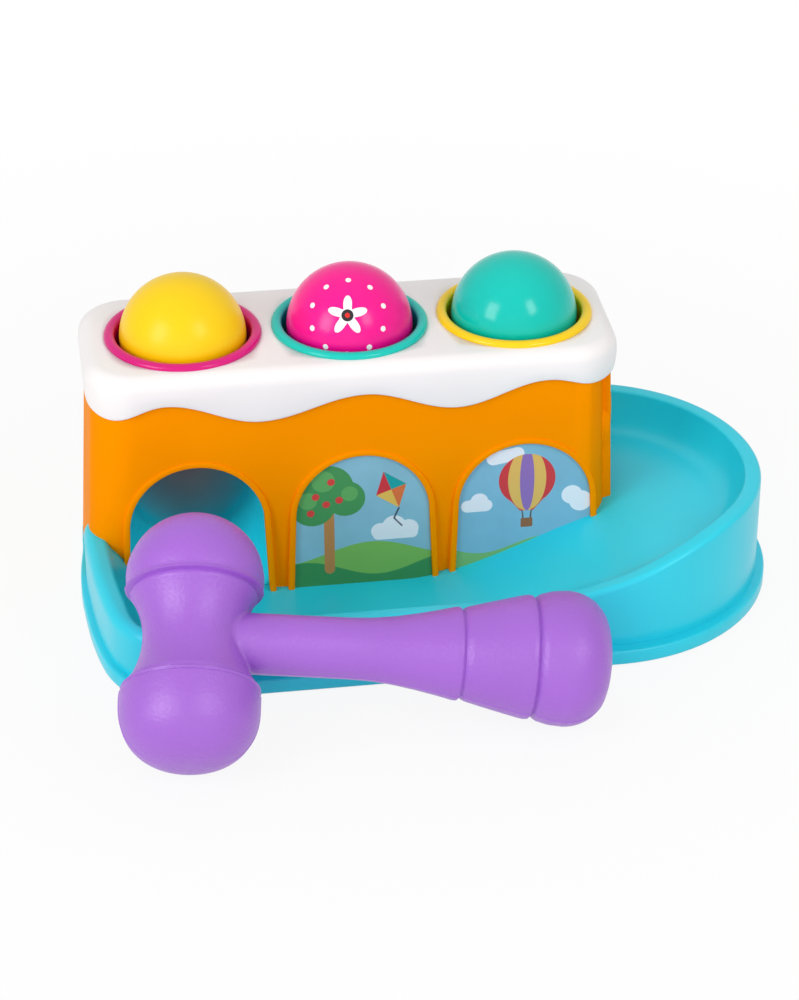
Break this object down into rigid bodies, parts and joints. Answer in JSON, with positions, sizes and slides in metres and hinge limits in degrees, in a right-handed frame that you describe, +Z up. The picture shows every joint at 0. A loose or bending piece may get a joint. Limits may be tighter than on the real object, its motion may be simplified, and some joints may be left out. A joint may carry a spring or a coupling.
{
  "type": "pound-a-ball ramp toy",
  "caption": "Pounding toy: balls are hammered through soft rings in a house's roof and roll round a ramp into a basin in front, with a loose double-ended hammer.",
  "frame": {"origin": "on the underside of the base plate, straight below the middle ball", "axes": "+X along the row of balls towards the turn of the ramp, -Y towards the front basin and the hammer, +Z up"},
  "size_m": [0.2666, 0.2021, 0.1234],
  "materials": {
    "blue_plastic": "satin moulded",
    "orange_plastic": "satin moulded",
    "white_plastic": "satin moulded",
    "pink_plastic": "satin moulded",
    "teal_plastic": "satin moulded",
    "yellow_plastic": "satin moulded",
    "purple_plastic": "fine grain, blow moulded",
    "soft_ring": "soft elastomer",
    "picture": "printed film",
    "screw_steel": "zinc plated"
  },
  "bodies": {
    "toy": {"base_plate": "blue_plastic", "ramp_tray": "blue_plastic", "inner_chute": "blue_plastic", "house_shell": "orange_plastic", "top_cover": "white_plastic", "collar_left": "pink_plastic", "collar_middle": "teal_plastic", "collar_right": "yellow_plastic", "grip_ring_left": "soft_ring", "grip_ring_middle": "soft_ring", "grip_ring_right": "soft_ring", "picture_middle": "picture", "picture_right": "picture", "cover_screws": "screw_steel", "base_screws": "screw_steel"},
    "ball_left": {"ball_left": "yellow_plastic"},
    "ball_middle": {"ball_middle": "pink_plastic"},
    "ball_right": {"ball_right": "teal_plastic"},
    "hammer": {"hammer": "purple_plastic"}
  },
  "joints": [
    {"name": "ball_left_drop", "type": "slide", "parent": "toy", "child": "ball_left", "axis": [0, 0, -1], "range_m": [-0.03, 0.0642], "deforming": ["grip_ring_left"]},
    {"name": "ball_middle_drop", "type": "slide", "parent": "toy", "child": "ball_middle", "axis": [0, 0, -1], "range_m": [-0.03, 0.06], "deforming": ["grip_ring_middle"]},
    {"name": "ball_right_drop", "type": "slide", "parent": "toy", "child": "ball_right", "axis": [0, 0, -1], "range_m": [-0.03, 0.0392], "deforming": ["grip_ring_right"]},
    {"name": "hammer_lift", "type": "slide", "parent": "toy", "child": "hammer", "axis": [0, 0, 1], "range_m": [0, 0.15]}
  ]
}
